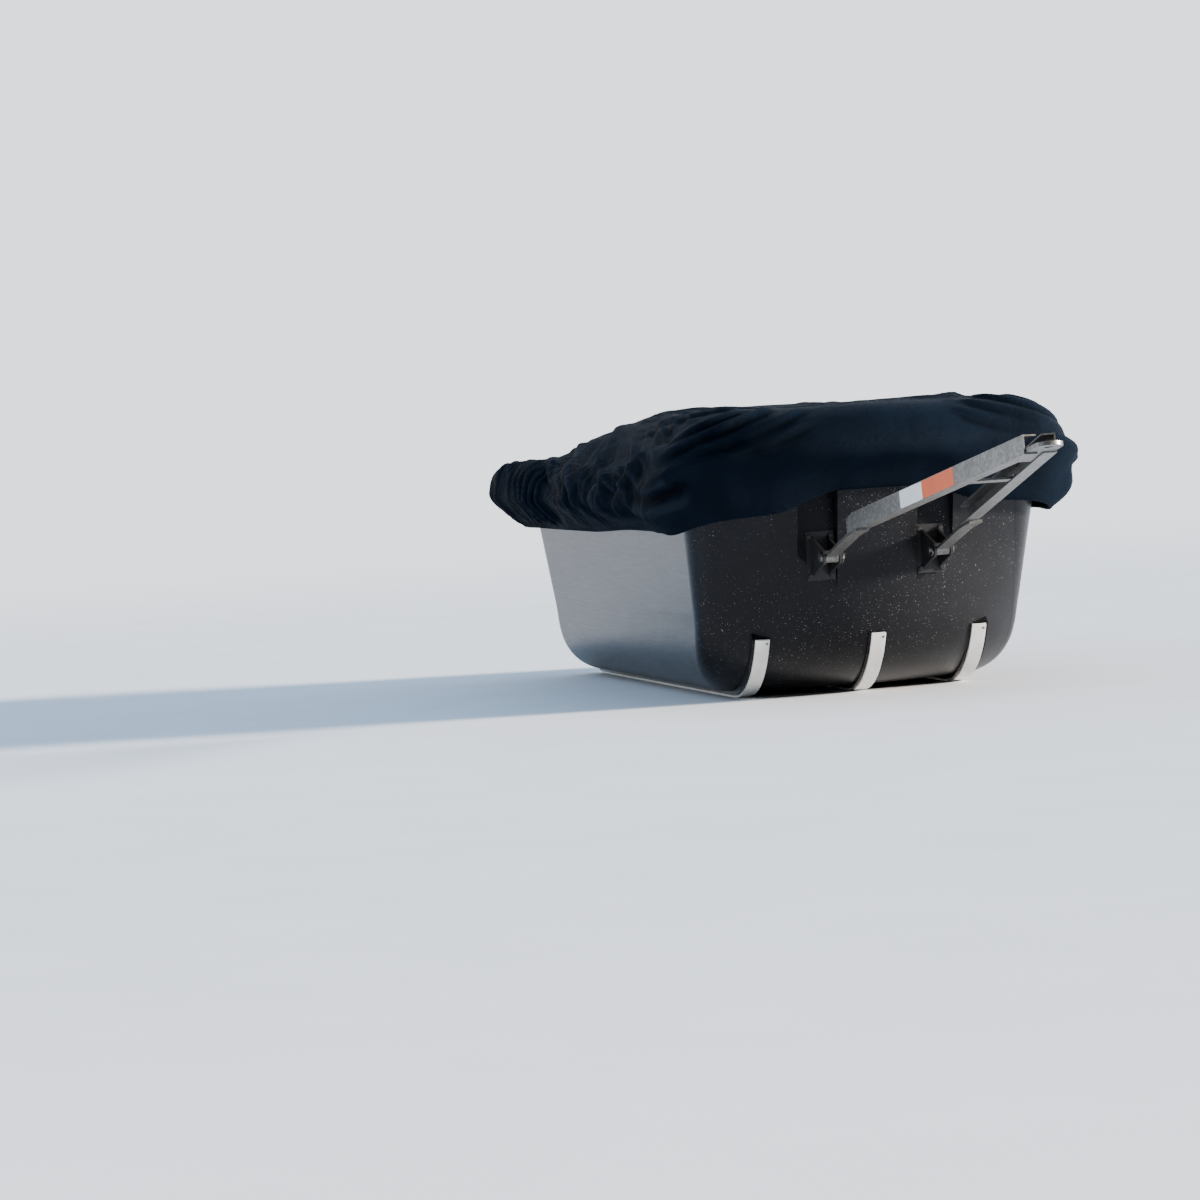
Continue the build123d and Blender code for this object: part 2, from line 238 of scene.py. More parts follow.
def bump(tree, shader, height, distance, strength=1.0):
    """A bump of a real height in metres."""
    node = tree.nodes.new("ShaderNodeBump")
    node.inputs["Distance"].default_value = distance
    node.inputs["Strength"].default_value = strength
    tree.links.new(height, node.inputs["Height"])
    tree.links.new(node.outputs["Normal"], shader.inputs["Normal"])


def hull_plastic():
    """Black satin polyethylene: fine orange peel, faint scuffs along the sled, frost specks."""
    material, tree, shader, even = new_material("hull_plastic")
    along = scaled(tree, even, (0.5, 9, 9))
    peel = noise(tree, even, 900, 2, 0.5)
    waviness = noise(tree, even, 9, 2, 0.4)
    scuffs = noise(tree, along, 22, 8, 0.7, 0.3)
    grime = noise(tree, even, 6, 6, 0.6)
    colour = ramp(tree, grime, [(0.30, (0.0045, 0.0048, 0.0056)), (0.70, (0.0090, 0.0095, 0.0108))])
    worn = marks_of(tree, scuffs, 0.62, 0.74)
    colour = mixed(tree, spread(tree, worn, 0.0, 0.30), colour, (0.036, 0.038, 0.042))
    frost = noise(tree, even, 330, 2, 0.5)
    drifts = noise(tree, even, 4, 4, 0.6)
    specks = marks_of(tree, summed(tree, frost, drifts, 0.22), 0.80, 0.86)
    colour = mixed(tree, spread(tree, specks, 0.0, 0.45), colour, (0.42, 0.44, 0.48))
    tree.links.new(colour, shader.inputs["Base Color"])
    tree.links.new(spread(tree, scuffs, 0.26, 0.42), shader.inputs["Roughness"])
    shader.inputs["IOR"].default_value = 1.46
    shader.inputs["Specular Tint"].default_value = (0.30, 0.30, 0.32, 1.0)
    height = summed(tree, peel, waviness, 3.0)
    bump(tree, shader, height, 0.00012, 0.6)
    return material


def runner_plastic():
    """White slippery polyethylene, a little see-through, scratched along its length."""
    material, tree, shader, even = new_material("runner_plastic")
    along = scaled(tree, even, (1.2, 60, 12))
    scratches = noise(tree, along, 14, 8, 0.75)
    stains = noise(tree, even, 17, 5, 0.6)
    colour = ramp(tree, stains, [(0.30, (0.71, 0.70, 0.67)), (0.62, (0.86, 0.86, 0.84))])
    worn = marks_of(tree, scratches, 0.56, 0.70)
    colour = mixed(tree, spread(tree, worn, 0.0, 0.30), colour, (0.48, 0.47, 0.45))
    tree.links.new(colour, shader.inputs["Base Color"])
    tree.links.new(spread(tree, scratches, 0.36, 0.62), shader.inputs["Roughness"])
    shader.inputs["Subsurface Weight"].default_value = 0.25
    shader.inputs["Subsurface Radius"].default_value = (0.004, 0.0035, 0.003)
    shader.inputs["Subsurface Scale"].default_value = 1.0
    bump(tree, shader, scratches, 0.0002, 0.5)
    return material


def zinc_steel():
    """Galvanised steel: soft spangle, drawn lines along the bar and duller spots."""
    material, tree, shader, even = new_material("zinc_steel")
    along = scaled(tree, even, (2.5, 70, 70))
    spangle = tree.nodes.new("ShaderNodeTexVoronoi")
    spangle.inputs["Scale"].default_value = 160
    tree.links.new(even, spangle.inputs["Vector"])
    lines = noise(tree, along, 9, 5, 0.65)
    cloud = noise(tree, even, 14, 5, 0.6)
    # Spangle and dull-spot tones are far darker than bare zinc. The darkness is a painted dark
    # reflection of the surroundings, laid over the real spangle and dull spots.
    spangle_in_painted_reflection = ramp(tree, spangle.outputs["Color"],
                  [(0.25, (0.13, 0.128, 0.122)), (0.75, (0.21, 0.207, 0.20))])
    dull = marks_of(tree, cloud, 0.48, 0.66)
    colour = mixed(tree, spread(tree, dull, 0.0, 0.5), spangle_in_painted_reflection, (0.13, 0.125, 0.115))
    tree.links.new(colour, shader.inputs["Base Color"])
    shader.inputs["Metallic"].default_value = 0.9
    tree.links.new(spread(tree, cloud, 0.30, 0.52), shader.inputs["Roughness"])
    bump(tree, shader, lines, 0.00010, 0.5)
    return material


def black_steel():
    """Powder-coated steel: grainy satin black with a few bare specks."""
    material, tree, shader, even = new_material("black_steel")
    grain = noise(tree, even, 700, 3, 0.6)
    chips = noise(tree, even, 85, 6, 0.7)
    bare = marks_of(tree, chips, 0.70, 0.74)
    colour = mixed(tree, spread(tree, bare, 0.0, 0.5), (0.006, 0.006, 0.007), (0.10, 0.095, 0.09))
    tree.links.new(colour, shader.inputs["Base Color"])
    tree.links.new(spread(tree, grain, 0.38, 0.56), shader.inputs["Roughness"])
    bump(tree, shader, grain, 0.00018, 0.6)
    return material


def thread_waves(tree, vector, scale, direction):
    """The waves of one set of threads."""
    thread = tree.nodes.new("ShaderNodeTexWave")
    thread.bands_direction = direction
    thread.inputs["Scale"].default_value = scale
    thread.inputs["Distortion"].default_value = 0.6
    tree.links.new(vector, thread.inputs["Vector"])
    return thread.outputs["Fac"]


def slanted(tree, even):
    """Object coordinates stretched along the slant of the folds."""
    mapping = tree.nodes.new("ShaderNodeMapping")
    mapping.vector_type = "TEXTURE"
    mapping.inputs["Rotation"].default_value = (0.0, FOLD_SLANT, 0.0)
    mapping.inputs["Scale"].default_value = (2.6, 1.2, 0.7)
    tree.links.new(even, mapping.inputs["Vector"])
    return mapping.outputs["Vector"]


def cover_fabric(name, weave_scale):
    """Black coated polyester: a weave and creases, with painted shade in the fold hollows and a painted
    highlight on the fold crests.
    """
    material, tree, shader, even = new_material(name)
    warp = thread_waves(tree, even, weave_scale, "X")
    weft = thread_waves(tree, even, weave_scale, "DIAGONAL")
    creases = noise(tree, slanted(tree, even), 26, 7, 0.62, 0.6)
    fading = noise(tree, even, 4.5, 5, 0.6)
    dust = noise(tree, even, 240, 3, 0.7)
    colour = ramp(tree, fading, [(0.30, (0.0024, 0.0044, 0.0078)), (0.72, (0.0046, 0.0092, 0.0175))])
    specks = marks_of(tree, dust, 0.74, 0.82)
    colour = mixed(tree, spread(tree, specks, 0.0, 0.30), colour, (0.05, 0.056, 0.066))
    # Painted shade darkens the fold hollows and a painted highlight lightens the fold crests, each read
    # from a point value of the mesh.
    for attribute, share, tone in (("painted_fold_shade", 0.72, (0.0006, 0.0012, 0.0022)),
                                   ("crest", 0.62, (0.015, 0.023, 0.036))):
        node = tree.nodes.new("ShaderNodeAttribute")
        node.attribute_name = attribute
        colour = mixed(tree, spread(tree, node.outputs["Fac"], 0.0, share), colour, tone)
    tree.links.new(colour, shader.inputs["Base Color"])
    tree.links.new(spread(tree, creases, 0.46, 0.64), shader.inputs["Roughness"])
    shader.inputs["Specular IOR Level"].default_value = 0.008
    shader.inputs["Sheen Weight"].default_value = 0.004
    shader.inputs["Sheen Roughness"].default_value = 0.35
    shader.inputs["Sheen Tint"].default_value = (0.42, 0.66, 1.0, 1.0)
    height = summed(tree, summed(tree, warp, weft, 1.0), creases, 14.0)
    bump(tree, shader, height, 0.00035, 0.7)
    return material


def patch_material(name, base, pale):
    """Blank vinyl: a flat colour that has faded and been rubbed."""
    material, tree, shader, even = new_material(name)
    rub = noise(tree, scaled(tree, even, (12, 60, 60)), 5, 6, 0.7)
    fade = noise(tree, even, 30, 4, 0.5)
    colour = ramp(tree, fade, [(0.3, base), (0.7, pale)])
    marks = marks_of(tree, rub, 0.60, 0.72)
    colour = mixed(tree, spread(tree, marks, 0.0, 0.35), colour, (0.45, 0.44, 0.43))
    tree.links.new(colour, shader.inputs["Base Color"])
    tree.links.new(spread(tree, rub, 0.32, 0.50), shader.inputs["Roughness"])
    bump(tree, shader, fade, 0.00005, 0.3)
    return material


def floor_material():
    """A pale plain floor that fades into the backdrop's own colour far out."""
    material, tree, shader, even = new_material("pale_floor")
    grain = noise(tree, even, 3, 6, 0.6)
    colour = ramp(tree, grain, [(0.35, (0.77, 0.79, 0.82)), (0.65, (0.81, 0.83, 0.86))])
    tree.links.new(colour, shader.inputs["Base Color"])
    shader.inputs["Roughness"].default_value = 0.85
    away = tree.nodes.new("ShaderNodeVectorMath")
    away.operation = "LENGTH"
    tree.links.new(even, away.inputs[0])
    fade = tree.nodes.new("ShaderNodeMapRange")
    fade.interpolation_type = "SMOOTHSTEP"
    fade.inputs["From Min"].default_value = FADE_START
    fade.inputs["From Max"].default_value = FADE_END
    tree.links.new(away.outputs["Value"], fade.inputs["Value"])
    glow = tree.nodes.new("ShaderNodeEmission")
    glow.inputs["Color"].default_value = (*BACKDROP_COLOUR, 1.0)
    glow.inputs["Strength"].default_value = BACKDROP_STRENGTH
    blend = tree.nodes.new("ShaderNodeMixShader")
    tree.links.new(fade.outputs["Result"], blend.inputs["Fac"])
    tree.links.new(shader.outputs["BSDF"], blend.inputs[1])
    tree.links.new(glow.outputs["Emission"], blend.inputs[2])
    tree.links.new(blend.outputs["Shader"], tree.nodes["Material Output"].inputs["Surface"])
    return material


# Cover shape: a grid of spokes, from the hem to the spine, by rings

RING_COUNT = 107
SPOKE_COUNT = 800
GUIDE_STERN, GUIDE_BOW, GUIDE_HALF, GUIDE_CORNER = -0.965, 0.905, 0.475, 0.29
AIM_DEPTH, AIM_HEIGHT = 0.26, 0.43
SIDE_START_ANGLE, SIDE_STEP_ANGLE, SIDE_STEPS = -40.0, 0.5, 261
TOP_STEPS = 40
SPINE_STERN, SPINE_BOW = -0.46, 0.42
TAUT_FROM, TAUT_TO = 0.56, 0.74
FORM_SOFTENING = 22
FRONT_SAG, FLANK_LIFT = 0.036, 0.010
BILLOW_CENTRE, BILLOW_REACH = np.array((0.655, 0.435, 0.395)), np.array((0.13, 0.09, 0.046))
BILLOW_PUSH = np.array((0.010, 0.014, -0.004))
FINE_SPACING, FINE_HEIGHT, SCALLOP_HEIGHT = 0.034, 0.0016, 0.0022
GATHER_SPACING, GATHER_HEIGHT = 0.082, 0.0072
PLEAT_SPACING, PLEAT_HEIGHT = 0.041, 0.0034
DRAPE_START, DRAPE_SPACING, DRAPE_HEIGHT = 0.10, 0.118, 0.0050
DRAPE_SLOPE, DRAPE_BEND = 2.4, 0.11
TOP_SLANT, TOP_SPACING, TOP_HEIGHT = 0.20, 0.125, 0.0046
CREASE_SPACING, CREASE_HEIGHT = 0.052, 0.0010
SLACK_HEIGHT = 0.0022
# How far a point stands proud or sunk before it gets the painted highlight of a fold crest or the
# painted shade of a fold hollow, in metres.
CREST_HIGHLIGHT_FROM, CREST_HIGHLIGHT_TO = 0.0012, 0.0032
FOLD_SHADE_FROM, FOLD_SHADE_TO = 0.0003, 0.0018

# Cloth simulation, on every second spoke and ring
CLOTH_STEP, CLOTH_FRAMES = 2, 26
CLOTH_SLACK, CLOTH_REACH, SUPPORT_DEPTH = 0.030, 0.016, 0.014
SPINE_HOLD = 0.8


def guide_loop(count):
    """Even points on a rounded rectangle round the rim, with their outward directions."""
    straight_x = GUIDE_BOW - GUIDE_STERN - 2 * GUIDE_CORNER
    straight_y = 2 * (GUIDE_HALF - GUIDE_CORNER)
    quarter = math.pi / 2 * GUIDE_CORNER
    total = 2 * (straight_x + straight_y) + 4 * quarter
    centres = ((GUIDE_BOW - GUIDE_CORNER, -GUIDE_HALF + GUIDE_CORNER, -math.pi / 2, straight_y),
               (GUIDE_BOW - GUIDE_CORNER, GUIDE_HALF - GUIDE_CORNER, 0.0, straight_x),
               (GUIDE_STERN + GUIDE_CORNER, GUIDE_HALF - GUIDE_CORNER, math.pi / 2, straight_y),
               (GUIDE_STERN + GUIDE_CORNER, -GUIDE_HALF + GUIDE_CORNER, math.pi, straight_x))
    points, directions, lengths = [], [], []
    for index in range(count):
        rest = total * index / count
        lengths.append(rest)
        for cx, cy, start, straight in centres:
            if rest <= quarter:
                angle = start + rest / GUIDE_CORNER
                direction = Vector((math.cos(angle), math.sin(angle), 0.0))
                point = Vector((cx, cy, 0.0)) + direction * GUIDE_CORNER
                break
            rest -= quarter
            if rest <= straight:
                angle = start + math.pi / 2
                direction = Vector((math.cos(angle), math.sin(angle), 0.0))
                onward = Vector((-direction.y, direction.x, 0.0))
                point = Vector((cx, cy, 0.0)) + direction * GUIDE_CORNER + onward * rest
                break
            rest -= straight
        points.append(point)
        directions.append(direction)
    return points, directions, np.array(lengths), total


def resampled(line, count):
    """A polyline divided again into even steps."""
    line = np.array(line)
    steps = np.linalg.norm(np.diff(line, axis=0), axis=1)
    places = np.concatenate(([0.0], np.cumsum(steps)))
    wanted = np.linspace(0.0, places[-1], count)
    return np.stack([np.interp(wanted, places, line[:, k]) for k in range(3)], axis=1)


def form_profile(tree, point, direction):
    """The form's outer face over one spoke, from the hem over the shoulder to the spine."""
    aim = point - direction * AIM_DEPTH
    aim.z = AIM_HEIGHT
    line = []
    for step in range(SIDE_STEPS):
        angle = math.radians(SIDE_START_ANGLE + step * SIDE_STEP_ANGLE)
        ray = direction * math.cos(angle) + Vector((0, 0, math.sin(angle)))
        hit = tree.ray_cast(aim + ray, -ray, 0.97)[0]
        if hit is not None:
            line.append(hit)
        elif line:
            break
    spine = Vector((min(max(aim.x, SPINE_STERN), SPINE_BOW), 0.0, 0.0))
    start = Vector((line[-1].x, line[-1].y, 0.0))
    for step in range(1, TOP_STEPS + 1):
        place = start.lerp(spine, step / TOP_STEPS)
        line.append(tree.ray_cast(Vector((place.x, place.y, 1.0)), Vector((0, 0, -1)))[0])
    return resampled(line, RING_COUNT)


def cover_form():
    """The smooth form of the cover as a grid of points, spokes by rings, with spoke lengths."""
    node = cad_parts["cover"]
    tree = BVHTree.FromPolygons([v.co for v in node.data.vertices],
                                [p.vertices for p in node.data.polygons])
    points, directions, lengths, total = guide_loop(SPOKE_COUNT)
    grid = np.array([form_profile(tree, p, d) for p, d in zip(points, directions)])
    return grid, lengths, total


def soften(grid, rounds):
    """The grid eased along spokes and rings, which rounds the form's sharp edges."""
    for _ in range(rounds):
        around = (np.roll(grid, 1, axis=0) + np.roll(grid, -1, axis=0)) / 2
        inner = grid.copy()
        inner[:, 1:-1] = (grid[:, 2:] + grid[:, :-2]) / 2
        eased = grid * 0.4 + around * 0.3 + inner * 0.3
        eased[:, 0] = (grid[:, 0] + around[:, 0]) / 2
        eased[:, -1] = grid[:, -1]
        grid = eased
    return grid


def grid_normals(grid):
    """Outward directions of a spokes by rings grid."""
    around = np.roll(grid, -1, axis=0) - np.roll(grid, 1, axis=0)
    inward = np.empty_like(grid)
    inward[:, 1:-1] = grid[:, 2:] - grid[:, :-2]
    inward[:, 0] = grid[:, 1] - grid[:, 0]
    inward[:, -1] = grid[:, -1] - grid[:, -2]
    normals = np.cross(around, inward)
    size = np.linalg.norm(normals, axis=2, keepdims=True)
    return normals / np.maximum(size, 1e-9)


def wander(seed, count, lowest, highest):
    """A seeded smooth function of two coordinates, about -1 to 1, made of slanted waves."""
    rng = random.Random(seed)
    waves = []
    for _ in range(count):
        length = lowest * (highest / lowest) ** rng.random()
        angle = rng.random() * math.tau
        waves.append((math.tau / length * math.cos(angle), math.tau / length * math.sin(angle),
                      rng.random() * math.tau))

    def value(a, b):
        total = sum(np.sin(ka * a + kb * b + phase) for ka, kb, phase in waves)
        return total / math.sqrt(count)

    return value


def ridge(phase):
    """A fold's section: a rounded crest with a narrower valley, about -1 to 1."""
    return 2.0 * np.abs(np.sin(phase / 2.0)) ** 1.25 - 1.1


def sharp_ridge(phase):
    """A draped fold's section: a narrow crest, steep on its stern side, over a wide valley."""
    leaning = phase + 0.50 * np.sin(phase) + 0.55 * np.cos(phase)
    return 1.75 * ((1.0 + np.cos(leaning)) / 2.0) ** 1.6 - 0.72


def loop_phase(lengths, total, spacing):
    """A phase along the loop that closes on itself, with about that spacing of folds."""
    return math.tau * round(total / spacing) * lengths / total


def up_the_fabric(grid):
    """Each point's distance from the hem, along its spoke."""
    steps = np.linalg.norm(np.diff(grid, axis=1), axis=2)
    return np.concatenate((np.zeros((len(grid), 1)), np.cumsum(steps, axis=1)), axis=1)


def run_along_side(lengths, total):
    """Each spoke's place along its side: x on the flank, then the way round the bow's corner."""
    half_round = math.pi / 2 * GUIDE_CORNER + (GUIDE_HALF - GUIDE_CORNER)
    signed = np.where(lengths > total / 2 + half_round, lengths - total, lengths)
    folded = np.where(signed < half_round, signed, 2 * half_round - signed)
    return GUIDE_BOW - GUIDE_CORNER + folded


DRIFT_A, DRIFT_B = wander(11, 9, 0.22, 0.8), wander(12, 9, 0.20, 0.6)
DRIFT_C = wander(13, 9, 0.15, 0.5)
STRENGTH_A, STRENGTH_B = wander(21, 8, 0.2, 0.6), wander(22, 8, 0.2, 0.7)
SLACK = wander(31, 10, 0.25, 0.6)


def hem_puckers(x, y, up, along, total):
    """Fine puckers just above the elastic hem, deeper towards the stern."""
    stern = smooth_step(-0.30, -0.75, x)
    fine = ridge(loop_phase(along, total, FINE_SPACING) + 1.2 * DRIFT_A(x, y))
    return fine * FINE_HEIGHT * (1.0 - smooth_step(0.02, 0.10, up)) * (0.6 + 0.5 * stern)


def gathers(x, y, z, up, along, total):
    """Bowed gathers and smaller pleats up the band of fabric over the hem."""
    bowed = 30.0 * (up - 0.09) ** 2 / 0.09
    gather = sharp_ridge(loop_phase(along, total, GATHER_SPACING) + 2.0 * DRIFT_B(x, y + z) + bowed)
    pleat = sharp_ridge(loop_phase(along, total, PLEAT_SPACING) + 2.6 * DRIFT_C(x, y + 0.6 * z)
                        + 1.6 * bowed)
    both = (gather * GATHER_HEIGHT * (1.0 + 0.4 * STRENGTH_B(x, y))
            + pleat * PLEAT_HEIGHT * (1.0 + 0.8 * STRENGTH_A(y, x + z)))
    both = both * smooth_step(0.0, 0.05, up) * (1.0 - smooth_step(0.15, 0.24, up))
    return both * (0.9 + 0.35 * STRENGTH_A(x, y)) * (0.30 + 0.75 * smooth_step(-0.05, -0.45, x))


def drapes(x, y, z, up):
    """Slanting folds on the flanks, which lean towards the stern as they climb."""
    line = x + DRAPE_SLOPE * np.maximum(0.0, up - DRAPE_BEND)
    drape = sharp_ridge(math.tau * (line - DRAPE_START) / DRAPE_SPACING
                        + 0.6 * DRIFT_A(x, y + z) + np.where(y > 0, 2.1, 0.0))
    drape = drape * DRAPE_HEIGHT * smooth_step(0.02, 0.11, up) * (1.0 - smooth_step(0.27, 0.40, up))
    flank = smooth_step(0.14, 0.28, np.abs(y))
    return drape * flank * (0.9 + 0.3 * STRENGTH_B(x, y)) * smooth_step(-0.34, -0.04, line)


def top_folds(x, y, up, front):
    """Nearly lengthwise folds and creases on the cover's top, which fade at the stern and bow."""
    across = y - TOP_SLANT * x
    folds = sharp_ridge(math.tau * across / TOP_SPACING + 1.7 * DRIFT_B(0.45 * x, 1.1 * y))
    folds = folds * TOP_HEIGHT * (0.8 + 0.6 * STRENGTH_A(0.6 * x, y))
    creases = ridge(math.tau * across / CREASE_SPACING + 2.0 * DRIFT_A(0.5 * x, 1.2 * y))
    both = (folds + creases * CREASE_HEIGHT) * smooth_step(0.24, 0.34, up)
    return both * (0.25 + 0.75 * smooth_step(-0.45, -0.05, x)) * (1.0 - 0.75 * front)


def fold_heights(grid, lengths, total):
    """How far each point stands out for the puckers, gathers, drapes, drawn and top folds."""
    x, y, z = grid[..., 0], grid[..., 1], grid[..., 2]
    up = up_the_fabric(grid)
    along = np.repeat(lengths[:, None], RING_COUNT, axis=1)
    run = np.repeat(run_along_side(lengths, total)[:, None], RING_COUNT, axis=1)
    front = smooth_step(0.60, 0.76, x)
    low = hem_puckers(x, y, up, along, total) + gathers(x, y, z, up, along, total)
    low = (low + drapes(x, y, z, up)) * (1.0 - 0.93 * front)
    slack = SLACK(x, y + z) * SLACK_HEIGHT
    return (low + top_folds(x, y, up, front) + drawn_folds(run, y, up) + slack) * spine_fade(x, y)


def spine_fade(x, y):
    """1 out on the fabric, and 0 at the spine and round its two ends, where the spokes meet."""
    ring = np.arange(RING_COUNT)[None, :] / (RING_COUNT - 1)
    ends = np.minimum(np.hypot(x - SPINE_STERN, y), np.hypot(x - SPINE_BOW, y))
    return (1.0 - smooth_step(0.9, 1.0, ring)) * smooth_step(0.02, 0.13, ends)


# Each drawn fold: half width, height, then its route as run along the side and way up the
# fabric. A route starts and ends where the fold fades.
DRAWN_FOLDS = (
    (0.022, 0.019, ((-0.56, 0.335), (-0.26, 0.235), (-0.09, 0.165), (0.07, 0.118), (0.12, 0.078),
                    (0.06, 0.020))),
    (0.019, 0.015, ((-0.50, 0.42), (-0.17, 0.315), (0.03, 0.215), (0.12, 0.165), (0.13, 0.120),
                    (0.19, 0.085), (0.17, 0.030))),
    (0.015, 0.011, ((-0.10, 0.345), (0.00, 0.275), (0.06, 0.222), (0.17, 0.165))),
    (0.015, 0.011, ((-0.08, 0.385), (0.185, 0.275), (0.36, 0.215))),
    (0.024, 0.020, ((0.84, 0.200), (0.67, 0.207), (0.56, 0.200), (0.46, 0.172), (0.34, 0.128),
                    (0.255, 0.108), (0.24, 0.080), (0.21, 0.025))),
    (0.021, 0.018, ((0.60, 0.205), (0.555, 0.160), (0.53, 0.130), (0.485, 0.100), (0.465, 0.075),
                    (0.46, 0.025))),
    (0.016, 0.012, ((0.36, 0.165), (0.37, 0.120), (0.33, 0.085), (0.34, 0.030))),
    (0.020, 0.014, ((0.86, 0.085), (0.79, 0.062), (0.70, 0.062), (0.61, 0.075), (0.56, 0.055))),
    (0.014, 0.008, ((0.80, 0.130), (0.74, 0.110), (0.67, 0.105))),
    (0.018, 0.015, ((-0.60, 0.250), (-0.40, 0.205), (-0.22, 0.162), (-0.12, 0.125), (-0.03, 0.090),
                    (-0.06, 0.025))),
    (0.014, 0.009, ((-0.30, 0.205), (-0.16, 0.155), (-0.06, 0.120), (0.01, 0.080))),
    (0.034, 0.012, ((-0.46, 0.220), (-0.62, 0.215), (-0.80, 0.200), (-1.05, 0.180))),
    (0.014, 0.009, ((0.08, 0.410), (0.34, 0.305), (0.56, 0.250))),
    (0.012, 0.008, ((0.24, 0.430), (0.50, 0.325), (0.72, 0.262))),
    (0.013, 0.008, ((-0.30, 0.460), (-0.08, 0.360), (0.06, 0.300))),
    (0.011, 0.007, ((-0.42, 0.365), (-0.20, 0.268), (-0.04, 0.205), (0.05, 0.160))),
    (0.015, 0.008, ((0.66, 0.225), (0.80, 0.238), (0.87, 0.285), (0.93, 0.360))),
    (0.015, 0.009, ((0.74, 0.195), (0.88, 0.225), (0.97, 0.280), (1.05, 0.350))),
    (0.015, 0.007, ((0.80, 0.180), (0.95, 0.200), (1.06, 0.238), (1.14, 0.300))),
    (0.014, 0.006, ((0.92, 0.172), (1.05, 0.190), (1.18, 0.225))),
    (0.015, 0.007, ((0.40, 0.262), (0.58, 0.285), (0.74, 0.345), (0.86, 0.430))),
    (0.015, 0.006, ((0.20, 0.300), (0.40, 0.330), (0.62, 0.400))),
)
PORT_SHIFT = 0.065


def smooth_route(points, rounds=3):
    """A route with its corners cut."""
    route = np.array(points)
    for _ in range(rounds):
        near = route[:-1] * 0.75 + route[1:] * 0.25
        far = route[:-1] * 0.25 + route[1:] * 0.75
        route = np.concatenate((route[:1], np.stack((near, far), axis=1).reshape(-1, 2), route[-1:]))
    return route


def drawn_fold(run, up, route, half_width, height):
    """One fold along its route: a crest that falls steeply to a valley on the route's right."""
    steps = np.linalg.norm(np.diff(route, axis=0), axis=1)
    shares = np.concatenate(([0.0], np.cumsum(steps))) / steps.sum()
    away, side, place = np.full(run.shape, 9.0), np.zeros(run.shape), np.zeros(run.shape)
    for (x0, up0), (x1, up1), share0, share1 in zip(route, route[1:], shares, shares[1:]):
        dx, dup = x1 - x0, up1 - up0
        part = np.clip(((run - x0) * dx + (up - up0) * dup) / (dx * dx + dup * dup), 0.0, 1.0)
        off_x, off_up = run - x0 - part * dx, up - up0 - part * dup
        distance = np.hypot(off_x, off_up)
        nearer = distance < away
        away = np.where(nearer, distance, away)
        side = np.where(nearer, np.sign(dx * off_up - dup * off_x), side)
        place = np.where(nearer, share0 + part * (share1 - share0), place)
    signed = away * side / half_width
    crest = np.exp(-(signed / np.where(signed > 0, 1.5, 0.80)) ** 2)
    valley = np.exp(-((signed + 1.6) / 0.85) ** 2)
    taper = smooth_step(0.0, 0.20, place) * (1.0 - smooth_step(0.82, 1.0, place))
    return height * taper * (crest - 0.50 * valley)


def drawn_folds(run, y, up):
    """The large listed folds, on both sides, a little apart."""
    total = np.zeros_like(run)
    for half_width, height, points in DRAWN_FOLDS:
        route = smooth_route(points)
        starboard = drawn_fold(run, up, route, half_width, height)
        port = drawn_fold(run + PORT_SHIFT, up, route, half_width * 1.1, height * 0.9)
        total = total + np.where(y < 0, starboard, port)
    return total * smooth_step(0.10, 0.20, np.abs(y))


def front_sag(grid):
    """The hem hangs lower round the bow's corners, and is drawn up on the flanks."""
    x, y = grid[..., 0], np.abs(grid[..., 1])
    low = 1.0 - smooth_step(0.01, 0.13, up_the_fabric(grid))
    sag = FRONT_SAG * smooth_step(0.57, 0.75, x) * smooth_step(0.09, 0.24, y)
    lift = FLANK_LIFT * smooth_step(-0.10, 0.32, x) * (1.0 - smooth_step(0.50, 0.68, x))
    sagging = grid.copy()
    sagging[..., 2] += (lift - sag) * low
    return sagging


def corner_billow(grid):
    """The loose fabric that hangs out over the hem at the bow's corners."""
    billowed = grid.copy()
    for side in (1, -1):
        mirror = np.array((1, side, 1))
        away = ((grid - BILLOW_CENTRE * mirror) / BILLOW_REACH) ** 2
        share = np.exp(-away.sum(axis=2) * 1.4)[..., None]
        billowed += BILLOW_PUSH * mirror * share
    return billowed


def point_values(obj, name, values):
    """A named value at each vertex of an object."""
    attribute = obj.data.attributes.new(name, "FLOAT", "POINT")
    attribute.data.foreach_set("value", values.reshape(-1).astype(np.float32))


def close_spine(obj):
    """Join the two halves of the fabric along the spine."""
    bm = bmesh.new()
    bm.from_mesh(obj.data)
    middle = [v for v in bm.verts if abs(v.co.y) < 0.0006 and v.co.z > 0.5]
    bmesh.ops.remove_doubles(bm, verts=middle, dist=0.004)
    bmesh.ops.dissolve_degenerate(bm, edges=bm.edges[:], dist=0.0001)
    bm.to_mesh(obj.data)
    bm.free()


